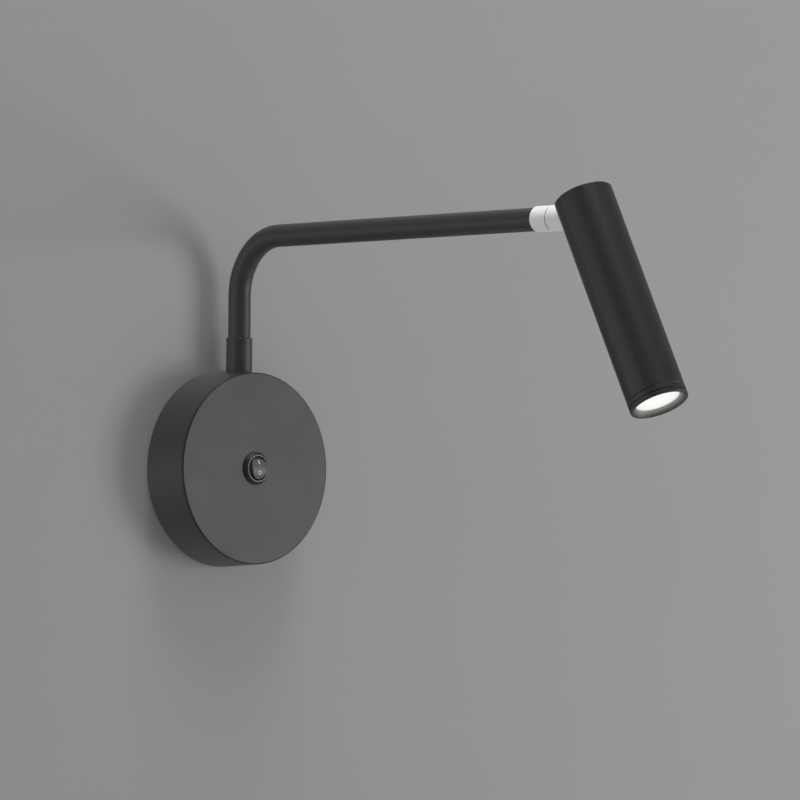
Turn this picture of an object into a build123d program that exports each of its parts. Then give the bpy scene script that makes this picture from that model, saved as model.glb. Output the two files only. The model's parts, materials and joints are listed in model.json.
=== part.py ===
from build123d import *
from math import asin, cos, degrees, pi, radians, sin, tan
import os

# LED wall reading light: a round canopy with a rocker switch, a bent swivel arm, and a tube head on a
# roll and tilt joint. Millimetres. The origin is the canopy's centre on the wall, the wall is the plane
# y = 0, the light stands out along -Y and +Z is up. The pose is the one in use: arm straight out, head
# tipped outwards, switch on.

# Fits
RUN_FIT = 0.04          # radial clearance of a shaft that turns
RUN_GAP = 0.05          # gap between flat faces that turn on each other
LOOSE = 0.3             # clearance of a piece that is only held in place
SLIP = 0.1              # clearance of a piece that is pushed into place
OVERCUT = 1.0           # how far a cut runs past a face

# Canopy
CANOPY_BACK_R = 52.5
CANOPY_FRONT_R = 51.1
CANOPY_DEPTH = 27.0
CANOPY_WALL = 1.5
CANOPY_EDGE = 0.6       # rounding of the front edge
LUG_ANGLES = (45, 135)  # hooks on the bracket and lugs in the canopy, from +X towards the top
LUG_WIDTH = 8.0
LUG_REACH = 4.0         # how far a lug stands in from the canopy's wall
LUG_BOTTOM = 3.0
LUG_THICK = 3.0
PAD_WIDTH = 12.0        # thickened pad under the canopy screw
PAD_THICK = 2.0
PAD_HEIGHT = 10.0

# Wall bracket
PLATE_INSET = 8.5       # plate's edge in from the canopy's
PLATE_T = 1.5
SLOT_INSET = 9.0        # middle of a wall slot in from the plate's edge
SLOT_LENGTH = 10.0
SLOT_WIDTH = 4.5
ENTRY_R = 7.0           # entry hole for the supply cable
ENTRY_POS = (-24.0, 16.0)
HOOK_LIP = 6.0
TAB_WIDTH = 12.0
TAB_GAP = 1.2           # between the screw tab and the pad inside the canopy

# Canopy screw, at the bottom
SCREW_R = 1.75
SCREW_HEAD_R = 3.3
SCREW_Z = 8.0           # distance of its axis from the wall
SCREW_SINK = 0.3        # depth of its head under the canopy's surface
SCREW_REACH = 5.0       # length past the tab

# Earth screw and tag
EARTH_SPACE = 1.4       # between its head and the wall slot
EARTH_UP = -2.0
EARTH_R = 2.0
EARTH_HEAD_R = 3.6
EARTH_HEAD_T = 2.4
TAG_T = 0.8
TAG_LENGTH = 8.0
DRIVE_SLOT = 1.0        # width of a screwdriver slot

# Terminal block
POLE_COUNT = 3
POLE_PITCH = 7.0
BLOCK_INSET = 24.0      # middle of the block in from the plate's edge
BLOCK_UP = 17.0
BLOCK_DEPTH = 15.0
BLOCK_HEIGHT = 12.0
BLOCK_END = 0.5         # plastic past the outer poles
SLEEVE_R = 2.2
SLEEVE_BORE_R = 1.4
SLEEVE_INSET = 2.0      # sleeve ends under the block's faces
SLEEVE_AXIS = 5.5       # height of the sleeves above the plate
CLAMP_R = 1.4
CLAMP_SPACING = 6.0
CLAMP_SINK = 1.0
CLAMP_SLOT = 0.6
NOTCH_WIDTH = 0.8       # notches between the poles

# LED driver
DRIVER_LENGTH = 52.0
DRIVER_WIDTH = 22.0
DRIVER_HEIGHT = 17.0
DRIVER_WALL = 1.5
DRIVER_SPACE = 4.3      # between the canopy screw's tip and the case
WAY_INSET = 12.0        # outer wire holes in from the case's ends
TAPE_T = 0.8
LEDGE = 2.5             # ledges that carry the board
BOARD_T = 1.6
CORE_SIZE = (14.0, 13.0, 9.0)
CORE_X = 2.0
CAPACITOR_R = 4.0
CAPACITOR_H = 9.5
CAPACITOR_INSETS = (7.5, 9.0)

# Switch
SWITCH_FLANGE_R = 8.75
SWITCH_FLANGE_T = 2.2
SWITCH_FLANGE_FOOT = 0.6  # straight foot of the flange, under its taper
SWITCH_TOP_R = 7.3
SWITCH_EDGE = 0.25
SWITCH_BARREL_R = 7.7
SWITCH_POCKET_R = 6.6
SWITCH_POCKET = 4.0     # depth of the round pocket under the rocker's axis
SWITCH_DEPTH = 15.0     # barrel behind the panel's face
SWITCH_FLOOR = 2.0
SWITCH_WELL = (5.4, 11.2)
WING_REACH = 0.9
WING_WIDTH = 4.0
WING_LENGTH = 6.0
ROCKER_AXIS_SINK = 0.3  # rocker's axis under the panel's face
ROCKER_FIT = 0.25
ROCKER_TOP = 3.9        # middle of the rocker's rounded face above its axis
ROCKER_FACE_R = 9.5
ROCKER_TIP = 9.0        # the rocker's tilt each way
ROCKER_SKIRT = 2.2
TRUNNION_R = 0.8
TRUNNION_END = 0.15     # trunnion ends under the barrel's surface
POST_SIZE = (4.0, 3.4)
POST_DEPTH = 6.0
PLUNGER_R = 0.95
PLUNGER_TOP = 4.5       # depths under the rocker's axis
PLUNGER_TIP = 7.6
SPRING_TOP = 0.5
SPRING_WIRE_R = 0.15
SPRING_R = 0.7
SPRING_TURNS = 5
BAR_SIZE = (2.4, 9.0, 0.5)
BAR_TIP = 8.0
BAR_PIVOT_R = 0.45      # round rib that the bar rocks on
BAR_GAP = 0.1           # under the plunger at mid travel
CONTACT_R = 0.9
CONTACT_T = 0.4
CONTACT_Y = 4.2
BLADE_WIDTH = 4.0
BLADE_T = 0.8
BLADE_LENGTH = 6.5      # blade below the barrel

# Arm
TUBE_R = 6.0
TUBE_WALL = 1.0
ARM_STANDOFF = 13.0     # vertical tube's axis from the wall
ARM_HEIGHT = 123.4      # straight arm's axis above the canopy's centre
BEND_R = 31.0
PIVOT_REACH = 276.7     # head's tilt axis, from the wall

# Collar and arm swivel
COLLAR_R = 7.0
COLLAR_HEIGHT = 18.2    # above the canopy
COLLAR_EDGE = 0.5
BEAD_DROP = 2.6         # groove under the collar's top
BEAD_DEPTH = 0.25
BEAD_WIDTH = 0.5
TUBE_ENGAGE = 13.0
SPIGOT_R = 5.0
SADDLE_R = 8.0
SADDLE_T = 2.0
COLLAR_NUT_AF = 14.0
COLLAR_NUT_T = 4.0
SPIGOT_TAIL = 1.0       # spigot past its nut
PIVOT_STEM_R = 3.5
PLUG_LENGTH = 12.0
THRUST_T = 0.5
SPRING_WASHER_T = 0.5
SPRING_WASHER_RISE = 0.4
FLAT_WASHER_T = 0.8
ARM_WASHER_R = 5.5
ARM_NUT_AF = 10.0
ARM_NUT_T = 4.0
STEM_TAIL = 1.0         # stem past its nut
ARM_SWING = 85.0        # swing each way
ARM_PIN_R = 0.6
ARM_PIN_CIRCLE = 4.35
PIN_SINK = 2.0          # stop pin in its seat
PIN_STAND = 1.5         # stop pin in its groove
STOP_MARGIN = 2.0       # degrees of play at each stop

# Roll swivel and knuckle
JOINT_R = 6.6
JOINT_EDGE = 0.6
RIM_BACK = 37.2         # ferrule's rim at the tube's end, back from the tilt axis
SEAM_BACK = 25.9        # ring seam, back from the tilt axis
SEAM_GAP = 0.4
ROLL_SPIGOT = 14.0      # ferrule's spigot in the tube
ROLL_STEM_R = 3.0
ROLL_WASHER_R = 4.5
ROLL_NUT_R = 4.6
ROLL_NUT_T = 4.0
ROLL_SWING = 160.0
ROLL_PIN_R = 0.6
ROLL_PIN_CIRCLE = 4.6
LEAD_BORE_R = 1.8

# Tilt joint
TILT = 27.0             # head from hanging straight down
TONGUE_T = 5.0
TONGUE_H = 9.0
TONGUE_SPACE = 0.7      # round the tongue and the barrel in their slots
BARREL_CLEAR = 12.3     # radius round the tilt axis that the knuckle's barrel leaves free
TILT_PIN_R = 1.5
TILT_PIN_END = 0.4      # pin ends under the block's surface
TILT_WASHER_R = 4.0
TILT_WASHER_T = 0.4
LEAD_EXIT = 8.0         # end of the lead's way in the tongue, before the pin
LEAD_MOUTH = 10.5       # length of the open side of that way

# Head
HEAD_R = 15.0
HEAD_WALL = 1.5
HEAD_LENGTH = 118.0
HEAD_EDGE = 0.6
PIVOT_DROP = 11.5       # tilt axis under the head's top
CAP_T = 2.5
BLOCK_BOTTOM = 26.0     # pivot block's lower end, from the head's top
SET_SCREW_R = 1.5
SET_SCREW_DROP = 22.5
SET_SCREW_LENGTH = 6.0
WIRE_WAY_Y = -4.0
SINK_TOP = 62.0
SINK_BASE_T = 8.0
SINK_FACE = 98.0        # heat sink's lower face, from the head's top
SINK_CORE_R = 6.0
FIN_COUNT = 14
FIN_T = 2.0
SINK_WIRE_Y = -7.8
WIRE_HOLE_R = 1.5
PAD_FILM_T = 0.3
LED_BOARD_R = 10.0
LED_BOARD_T = 1.6
BOARD_SCREW_X = 7.2
BOARD_SCREW_R = 1.1
BOARD_SCREW_HEAD_R = 2.0
BOARD_SCREW_HEAD_T = 1.2
BOARD_SCREW_DEPTH = 4.0
EMITTER_R = 3.0
EMITTER_T = 0.8

# Bezel and lens
BEZEL_LENGTH = 5.0
BEZEL_SPIGOT = 6.0
BEZEL_BORE_R = 12.5
BEZEL_LIP_T = 2.8
BEZEL_BEVEL = 2.2
SEAM_EDGE = 0.25
GROOVE_RISE = 2.2       # groove above the bezel's rim
GROOVE_WIDTH = 0.6
GROOVE_DEPTH = 0.4
LENS_R = 11.2
LENS_RECESS = 2.7
LENS_FLANGE_R = 12.2
LENS_FLANGE_T = 1.5
LENS_TIP_R = 4.6
LENS_CLEAR = 0.6        # lens over the emitter
LENS_POCKET_R = 3.4
LENS_POCKET = 5.0
GASKET_T = 0.6
HOLDER_WALL = 1.0

# Wires and leads, as routes in the canopy: right, up and out from the wall
WIRE_R = 0.9
LEAD_R = 1.5
HEAD_LEAD_R = 1.2
ARC_SHARE = 0.45        # share of the shorter run that an arc takes up
WIRE_INSERT = 3.0       # wire in a clamp's sleeve, and lead past a swivel stem's mouth
WIRE_DROP = 4.5         # straight run under the terminal block
WIRE_LIFT = 1.2         # height of the earth wire's end over its tag, in wire radii
BLADE_RUN = 6.0         # straight run beside the switch's blade
LIVE_OUT_X = 0.0
LIVE_OUT_BENDS = (0.42, 0.86)  # bends of the switched wire, as shares of its way to the driver
NEUTRAL_RUN = 8.0       # straight runs above the driver
OUTPUT_RUN = 6.0
STEM_RUN = 6.0          # straight run under the arm's stem
LEAD_WAY = ((-11.0, 19.0, 12.2), (-15.5, 5.0, 10.8))  # round the switch
KNUCKLE_RUN = 7.0       # sloping end of the lead in the knuckle
BLOCK_RUN = 2.0         # straight runs under the pivot block, over the heat sink and over the LED board
SINK_RUN = 14.0
BOARD_RUN = 0.5

# Places worked out from the sizes
TUBE_BORE_R = TUBE_R - TUBE_WALL
SHELL_BORE_R = HEAD_R - HEAD_WALL
PLATE_R = CANOPY_BACK_R - PLATE_INSET
SLOT_X = PLATE_R - SLOT_INSET
EARTH_POS = (SLOT_X - SLOT_LENGTH / 2 - EARTH_HEAD_R - EARTH_SPACE, EARTH_UP)
BLOCK_POS = (PLATE_R - BLOCK_INSET, BLOCK_UP)
TAB_R = CANOPY_BACK_R - CANOPY_WALL - PAD_THICK - TAB_GAP - PLATE_T
SCREW_TIP = TAB_R - SCREW_REACH
CANOPY_TILT = (CANOPY_FRONT_R - CANOPY_BACK_R) / CANOPY_DEPTH
ROCKER_Z = CANOPY_DEPTH - ROCKER_AXIS_SINK
ROCKER_R = SWITCH_POCKET_R - ROCKER_FIT
BAR_Z = ROCKER_Z - PLUNGER_TIP - PLUNGER_R - BAR_GAP - BAR_SIZE[2] / 2
CANOPY_TOP = CANOPY_BACK_R + CANOPY_TILT * ARM_STANDOFF
COLLAR_TOP = CANOPY_TOP + COLLAR_HEIGHT
COLLAR_FLOOR = COLLAR_TOP - TUBE_ENGAGE
TUBE_FOOT = COLLAR_FLOOR + THRUST_T + RUN_GAP
SADDLE_FLOOR = CANOPY_TOP - CANOPY_WALL - SADDLE_T
SPIGOT_FOOT = SADDLE_FLOOR - COLLAR_NUT_T - SPIGOT_TAIL
ARM_WASHER_TOP = SPIGOT_FOOT - RUN_GAP
STACK = SPRING_WASHER_T + SPRING_WASHER_RISE + FLAT_WASHER_T
STEM_FOOT = ARM_WASHER_TOP - STACK - ARM_NUT_T - STEM_TAIL
FERRULE_RIM = PIVOT_REACH - RIM_BACK
SEAM = PIVOT_REACH - SEAM_BACK
ROLL_SPIGOT_END = FERRULE_RIM - ROLL_SPIGOT
ROLL_WASHER_TOP = ROLL_SPIGOT_END - RUN_GAP
ROLL_STEM_END = ROLL_WASHER_TOP - STACK - ROLL_NUT_T - STEM_TAIL
KNUCKLE_START = SEAM + SEAM_GAP / 2
DRIVER_FLOOR = PLATE_T + TAPE_T
DRIVER_TOP_Y = DRIVER_WIDTH + DRIVER_SPACE - SCREW_TIP
NEUTRAL_X = DRIVER_LENGTH / 2 - WAY_INSET
OUTPUT_X = WAY_INSET - DRIVER_LENGTH / 2
BOARD_FLOOR = DRIVER_FLOOR + DRIVER_WALL + LEDGE
BOARD_TOP = BOARD_FLOOR + BOARD_T
SLEEVE_Z = PLATE_T + SLEEVE_AXIS
BLADE_FOOT = CANOPY_DEPTH - SWITCH_DEPTH - BLADE_LENGTH
LED_BOARD_TOP = SINK_FACE + PAD_FILM_T
LED_BOARD_FACE = LED_BOARD_TOP + LED_BOARD_T
BEZEL_SEAM = HEAD_LENGTH - BEZEL_LENGTH
LIP_FACE = HEAD_LENGTH - BEZEL_LIP_T
FLANGE_FACE = LIP_FACE - GASKET_T
FLANGE_BACK = FLANGE_FACE - LENS_FLANGE_T

# Frames: the wall's (right, up, out), the swivel's, the arm's (right, up, out) and the head's (right,
# front, along)
WALL = Plane(origin=(0, 0, 0), x_dir=(1, 0, 0), z_dir=(0, -1, 0)).location
SWIVEL = Location((0, -ARM_STANDOFF, 0))
ARM = Plane(origin=(0, 0, ARM_HEIGHT), x_dir=(1, 0, 0), z_dir=(0, -1, 0)).location
HEAD_AXIS = Vector(0, -sin(radians(TILT)), -cos(radians(TILT)))
HEAD_TOP = Vector(0, -PIVOT_REACH, ARM_HEIGHT) - HEAD_AXIS * PIVOT_DROP
HEAD = Plane(origin=HEAD_TOP, x_dir=(1, 0, 0), z_dir=HEAD_AXIS).location

parts = {}


def disc(radius, start, end):
    """A cylinder along Z from one height to another."""
    return Pos(0, 0, start) * Cylinder(radius, end - start, align=(Align.CENTER, Align.CENTER, Align.MIN))


def tube(radius, bore, start, end):
    """A plain ring along Z."""
    return Pos(0, 0, start) * extrude(Circle(radius) - Circle(bore), amount=end - start)


def frustum(start_radius, end_radius, start, end):
    """A cone's slice along Z."""
    return Pos(0, 0, start) * Cone(start_radius, end_radius, end - start,
                                   align=(Align.CENTER, Align.CENTER, Align.MIN))


def block(x0, x1, y0, y1, z0, z1):
    """A box between two corners."""
    return Pos((x0 + x1) / 2, (y0 + y1) / 2, (z0 + z1) / 2) * Box(x1 - x0, y1 - y0, z1 - z0)


def hex_nut(across, bore, start, end):
    """A hexagon nut along Z."""
    outline = RegularPolygon(across / 2, 6, major_radius=False) - Circle(bore)
    return Pos(0, 0, start) * extrude(outline, amount=end - start)


def spring_washer(radius, bore, top):
    """A cone washer under a face at the height top."""
    rise = SPRING_WASHER_RISE
    thick = SPRING_WASHER_T
    outline = [(bore, top), (radius, top - rise), (radius, top - rise - thick), (bore, top - thick)]
    return revolve(Plane.XZ * make_face(Polyline(*outline, close=True)), Axis.Z)


def arc_groove(inner, outer, half_angle, start, end):
    """An arc of a ring, centred on the -Y side, cut as a groove for a stop pin."""
    outline = Polyline((inner, start), (outer, start), (outer, end), (inner, end), close=True)
    arc = revolve(Plane.XZ * make_face(outline), Axis.Z, 2 * half_angle)
    return Rot(0, 0, -90 - half_angle) * arc


def cord(name, points, radius):
    """A round wire along straight runs joined by the largest tangent arcs that fit."""
    radii = []
    for a, b, c in zip(points, points[1:], points[2:]):
        before = Vector(b) - Vector(a)
        after = Vector(c) - Vector(b)
        turn = radians(before.get_angle(after))
        radii.append(ARC_SHARE * min(before.length, after.length) / tan(turn / 2))
    path = FilletPolyline(*points, radius=radii)
    solid = sweep(Plane(origin=path @ 0, z_dir=path % 0) * Circle(radius), path=path)
    share = solid.volume / (pi * radius**2 * path.length)
    bends = [round(r, 1) for r in radii]
    print(f"{name}: length {path.length:.1f}, radii {bends}, volume share {share:.4f}")
    return solid


def canopy_solid(inset):
    """The canopy's outline, shrunk by a wall, as a full solid from the wall out."""
    front = CANOPY_DEPTH - inset
    return frustum(CANOPY_BACK_R - inset, CANOPY_BACK_R + CANOPY_TILT * front - inset, 0, front)


def countersunk(shank, head, tip, top):
    """A countersunk screw's solid along Z, its head's face at the top."""
    neck = top - (head - shank)
    return disc(shank, tip, neck) + frustum(shank, head, neck, top)


def build_canopy():
    outer = canopy_solid(0)
    outer = fillet(outer.edges().sort_by(Axis.Z)[-1], CANOPY_EDGE)
    shell = outer - canopy_solid(CANOPY_WALL)
    inner_r = CANOPY_BACK_R - CANOPY_WALL
    for angle in LUG_ANGLES:
        lug = block(inner_r - LUG_REACH, CANOPY_BACK_R, -LUG_WIDTH / 2, LUG_WIDTH / 2,
                    LUG_BOTTOM, LUG_BOTTOM + LUG_THICK)
        shell += Rot(0, 0, angle) * lug & canopy_solid(CANOPY_WALL / 2)
    pad = block(-PAD_WIDTH / 2, PAD_WIDTH / 2, -CANOPY_BACK_R, PAD_THICK - inner_r,
                SCREW_Z - PAD_HEIGHT / 2, SCREW_Z + PAD_HEIGHT / 2)
    shell += pad & canopy_solid(CANOPY_WALL / 2)
    shell -= disc(SWITCH_BARREL_R + SLIP, 0, CANOPY_DEPTH + SLIP)
    top = CANOPY_BACK_R + CANOPY_TILT * SCREW_Z - SCREW_SINK
    hole = countersunk(SCREW_R + SLIP, SCREW_HEAD_R + SLIP, 0, top)
    hole += disc(SCREW_HEAD_R + SLIP, top, top + SCREW_SINK + OVERCUT)
    shell -= Pos(0, 0, SCREW_Z) * Rot(90, 0, 0) * hole
    screw = countersunk(SCREW_R, SCREW_HEAD_R, SCREW_TIP, top)
    screw -= disc(SCREW_R / 2, top - SCREW_R / 2, top)
    parts["canopy_screw"] = WALL * Pos(0, 0, SCREW_Z) * Rot(90, 0, 0) * screw
    parts["canopy"] = WALL * shell - SWIVEL * disc(SPIGOT_R + SLIP, 0, 2 * CANOPY_TOP)


def build_bracket():
    plate = disc(PLATE_R, 0, PLATE_T)
    hook_z = LUG_BOTTOM + LUG_THICK + LOOSE
    hook_r = CANOPY_BACK_R - CANOPY_WALL - LUG_REACH - 2 * PLATE_T - LOOSE
    for angle in LUG_ANGLES:
        hook = block(hook_r - PLATE_T, hook_r, -LUG_WIDTH / 2, LUG_WIDTH / 2, 0, hook_z + PLATE_T)
        hook += block(hook_r - PLATE_T, hook_r + HOOK_LIP - PLATE_T, -LUG_WIDTH / 2, LUG_WIDTH / 2,
                      hook_z, hook_z + PLATE_T)
        plate += Rot(0, 0, angle) * hook
    foot = TAB_R
    half = TAB_WIDTH / 2
    plate += block(-half, half, -foot - PLATE_T, 0, 0, PLATE_T)
    plate += block(-half, half, -foot - PLATE_T, -foot, 0, SCREW_Z + half)
    plate -= Pos(0, 0, SCREW_Z) * Rot(90, 0, 0) * disc(SCREW_R, foot - OVERCUT, foot + PLATE_T + OVERCUT)
    for side in (-1, 1):
        slot = extrude(SlotOverall(SLOT_LENGTH, SLOT_WIDTH), amount=3 * PLATE_T)
        plate -= Pos(side * SLOT_X, 0, -PLATE_T) * slot
    plate -= Pos(*ENTRY_POS) * disc(ENTRY_R, -OVERCUT, PLATE_T + OVERCUT)
    plate -= Pos(*EARTH_POS) * disc(EARTH_R, -OVERCUT, PLATE_T + OVERCUT)
    parts["wall_bracket"] = WALL * plate
    tag = disc(EARTH_HEAD_R, PLATE_T, PLATE_T + TAG_T)
    tag += block(-WIRE_R * 2, WIRE_R * 2, 0, TAG_LENGTH, PLATE_T, PLATE_T + TAG_T)
    tag -= disc(EARTH_R, PLATE_T - OVERCUT, PLATE_T + TAG_T + OVERCUT)
    parts["earth_tag"] = WALL * Pos(*EARTH_POS) * tag
    head = PLATE_T + TAG_T
    screw = disc(EARTH_R, 0, head) + disc(EARTH_HEAD_R, head, head + EARTH_HEAD_T)
    half = DRIVE_SLOT / 2
    screw -= block(-EARTH_HEAD_R, EARTH_HEAD_R, -half, half, head + EARTH_HEAD_T / 2, head + EARTH_HEAD_T)
    parts["earth_screw"] = WALL * Pos(*EARTH_POS) * screw


def pole_x(index):
    """Place of one pole of the terminal block, across the wall."""
    return BLOCK_POS[0] + (index - (POLE_COUNT - 1) / 2) * POLE_PITCH


def build_terminals():
    half_w = POLE_COUNT * POLE_PITCH / 2 + BLOCK_END
    half_d = BLOCK_DEPTH / 2
    x, y = BLOCK_POS
    top = PLATE_T + BLOCK_HEIGHT
    body = block(x - half_w, x + half_w, y - half_d, y + half_d, PLATE_T, top)
    for index in range(POLE_COUNT - 1):
        notch = (pole_x(index) + pole_x(index + 1)) / 2
        body -= block(notch - NOTCH_WIDTH / 2, notch + NOTCH_WIDTH / 2, y - half_d, y + half_d,
                      top - CLAMP_SINK, top)
    sleeves = []
    screws = []
    for index in range(POLE_COUNT):
        along = Pos(pole_x(index), y, SLEEVE_Z) * Rot(90, 0, 0)
        body -= along * disc(SLEEVE_R, -half_d - OVERCUT, half_d + OVERCUT)
        sleeve = along * tube(SLEEVE_R, SLEEVE_BORE_R, SLEEVE_INSET - half_d, half_d - SLEEVE_INSET)
        for side in (-1, 1):
            place = Pos(pole_x(index), y + side * CLAMP_SPACING / 2, 0)
            body -= place * disc(CLAMP_R, SLEEVE_Z, top + OVERCUT)
            screw = disc(CLAMP_R, SLEEVE_Z + SLEEVE_BORE_R, top - CLAMP_SINK)
            screw -= block(-CLAMP_R, CLAMP_R, -CLAMP_SLOT / 2, CLAMP_SLOT / 2, top - 2 * CLAMP_SINK, top)
            sleeve -= place * disc(CLAMP_R, SLEEVE_Z, SLEEVE_Z + 2 * SLEEVE_R)
            screws.append(WALL * place * screw)
        sleeves.append(WALL * sleeve)
    parts["terminal_block"] = WALL * body
    parts["terminal_sleeves"] = Compound(children=sleeves)
    parts["terminal_screws"] = Compound(children=screws)


def build_driver():
    half = DRIVER_LENGTH / 2
    y0 = DRIVER_TOP_Y - DRIVER_WIDTH
    y1 = DRIVER_TOP_Y
    floor = DRIVER_FLOOR
    rim = floor + DRIVER_HEIGHT - DRIVER_WALL
    wall = DRIVER_WALL
    parts["driver_tape"] = WALL * block(wall - half, half - wall, y0 + wall, y1 - wall, PLATE_T, floor)
    case = block(-half, half, y0, y1, floor, rim)
    case -= block(wall - half, half - wall, y0 + wall, y1 - wall, floor + wall, rim)
    for ledge_y in (y0 + wall, y1 - 2 * wall):
        case += block(wall - half, half - wall, ledge_y, ledge_y + wall, floor + wall, BOARD_FLOOR)
    for x, radius in ((LIVE_OUT_X, WIRE_R), (NEUTRAL_X, WIRE_R), (OUTPUT_X, LEAD_R)):
        way = Rot(90, 0, 0) * disc(radius + SLIP, -y1 - OVERCUT, wall - y1 + OVERCUT)
        case -= Pos(x, 0, BOARD_TOP + radius) * way
    parts["driver_case"] = WALL * case
    cover = block(-half, half, y0, y1, rim, rim + wall)
    lip = wall + SLIP
    cover += block(lip - half, half - lip, y0 + lip, y1 - lip, rim - wall, rim)
    cover -= block(lip + wall - half, half - lip - wall, y0 + lip + wall, y1 - lip - wall, rim - wall, rim)
    parts["driver_cover"] = WALL * cover
    parts["driver_board"] = WALL * block(lip - half, half - lip, y0 + lip, y1 - lip, BOARD_FLOOR, BOARD_TOP)
    mid = (y0 + y1) / 2
    width, depth, height = CORE_SIZE
    core = block(CORE_X - width / 2, CORE_X + width / 2, mid - depth / 2, mid + depth / 2,
                 BOARD_TOP, BOARD_TOP + height)
    for side in (-1, 1):
        window = Box(width / 6, depth + OVERCUT, height / 2)
        core -= Pos(CORE_X + side * width / 4, mid, BOARD_TOP + height / 2) * window
    parts["driver_transformer"] = WALL * core
    can = disc(CAPACITOR_R, BOARD_TOP, BOARD_TOP + CAPACITOR_H)
    left, right = CAPACITOR_INSETS
    cans = [WALL * Pos(x, mid, 0) * can for x in (left - half, half - right)]
    parts["driver_capacitors"] = Compound(children=cans)


def build_switch():
    face = CANOPY_DEPTH + SWITCH_FLANGE_T
    foot = CANOPY_DEPTH - SWITCH_DEPTH
    foot_top = CANOPY_DEPTH + SWITCH_FLANGE_FOOT
    flange = disc(SWITCH_FLANGE_R, CANOPY_DEPTH, foot_top)
    flange += frustum(SWITCH_FLANGE_R, SWITCH_TOP_R, foot_top, face)
    flange = fillet(flange.edges().sort_by(Axis.Z)[-1], SWITCH_EDGE)
    body = flange + disc(SWITCH_BARREL_R, foot, CANOPY_DEPTH)
    for side in (-1, 1):
        start = CANOPY_DEPTH - CANOPY_WALL - SLIP
        end = start - WING_LENGTH
        outline = Polyline((0, start), (WING_REACH, start), (0, end), (-WING_REACH, end),
                           (-WING_REACH, start), close=True)
        wing = extrude(Plane.XZ * make_face(outline), amount=WING_WIDTH / 2, both=True)
        wing = Pos(SWITCH_BARREL_R, 0, 0) * wing
        body += wing if side > 0 else mirror(wing, about=Plane.YZ)
    body -= disc(SWITCH_POCKET_R, ROCKER_Z - SWITCH_POCKET, face + OVERCUT)
    well_x, well_y = (size / 2 for size in SWITCH_WELL)
    body -= block(-well_x, well_x, -well_y, well_y, foot + SWITCH_FLOOR, ROCKER_Z)
    trunnion = Pos(0, 0, ROCKER_Z) * Rot(0, 90, 0)
    trunnion_end = SWITCH_BARREL_R - TRUNNION_END
    body -= trunnion * disc(TRUNNION_R + RUN_FIT, -SWITCH_BARREL_R, SWITCH_BARREL_R)
    blades = []
    for y, top in ((0, BAR_Z - BAR_PIVOT_R - RUN_GAP), (-CONTACT_Y, contact_seat())):
        blade = block(-BLADE_WIDTH / 2, BLADE_WIDTH / 2, y - BLADE_T / 2, y + BLADE_T / 2, BLADE_FOOT, top)
        body -= blade
        blades.append(blade)
    blades[1] += Pos(0, -CONTACT_Y, 0) * disc(CONTACT_R, contact_seat(), contact_seat() + CONTACT_T)
    parts["switch_body"] = WALL * body
    parts["switch_terminals"] = Compound(children=[WALL * blade for blade in blades])

    rocker = Sphere(ROCKER_R) & disc(ROCKER_R, -ROCKER_SKIRT, ROCKER_R)
    crown = Pos(0, 0, ROCKER_TOP - ROCKER_FACE_R) * Rot(0, 90, 0)
    rocker &= crown * disc(ROCKER_FACE_R, -ROCKER_R, ROCKER_R)
    rocker += block(-POST_SIZE[0] / 2, POST_SIZE[0] / 2, -POST_SIZE[1] / 2, POST_SIZE[1] / 2,
                    -POST_DEPTH, -ROCKER_SKIRT)
    rocker += Rot(0, 90, 0) * disc(TRUNNION_R, -trunnion_end, trunnion_end)
    rocker -= disc(PLUNGER_R + RUN_GAP, -POST_DEPTH - OVERCUT, -SPRING_TOP)
    tipped = WALL * Pos(0, 0, ROCKER_Z) * Rot(-ROCKER_TIP, 0, 0)
    parts["rocker"] = tipped * rocker
    plunger = disc(PLUNGER_R, -PLUNGER_TIP, -PLUNGER_TOP) + Pos(0, 0, -PLUNGER_TIP) * Sphere(PLUNGER_R)
    parts["switch_plunger"] = tipped * plunger
    height = PLUNGER_TOP - SPRING_TOP - 2 * SPRING_WIRE_R
    helix = Helix(height / SPRING_TURNS, height, SPRING_R)
    wire = Plane(origin=helix @ 0, z_dir=helix % 0) * Circle(SPRING_WIRE_R)
    coil = sweep(wire, path=helix, is_frenet=True)
    parts["switch_spring"] = tipped * Pos(0, 0, SPRING_WIRE_R - PLUNGER_TOP) * coil

    half = BAR_SIZE[0] / 2
    rib = Rot(0, 90, 0) * disc(BAR_PIVOT_R, -half, half)
    bar = Box(*BAR_SIZE) + (rib & block(-half, half, -BAR_PIVOT_R, BAR_PIVOT_R, -BAR_PIVOT_R, 0))
    for side in (-1, 1):
        bar += Pos(0, side * CONTACT_Y, 0) * disc(CONTACT_R, -BAR_SIZE[2] / 2 - CONTACT_T, -BAR_SIZE[2] / 2)
    parts["contact_bar"] = WALL * Pos(0, 0, BAR_Z) * Rot(BAR_TIP, 0, 0) * bar


def contact_seat():
    """Top of the switched blade, under its contact and the tipped bar's contact."""
    drop = CONTACT_Y * sin(radians(BAR_TIP)) + (BAR_SIZE[2] / 2 + CONTACT_T) * cos(radians(BAR_TIP))
    return BAR_Z - drop - CONTACT_R * sin(radians(BAR_TIP)) - RUN_GAP - CONTACT_T


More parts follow.
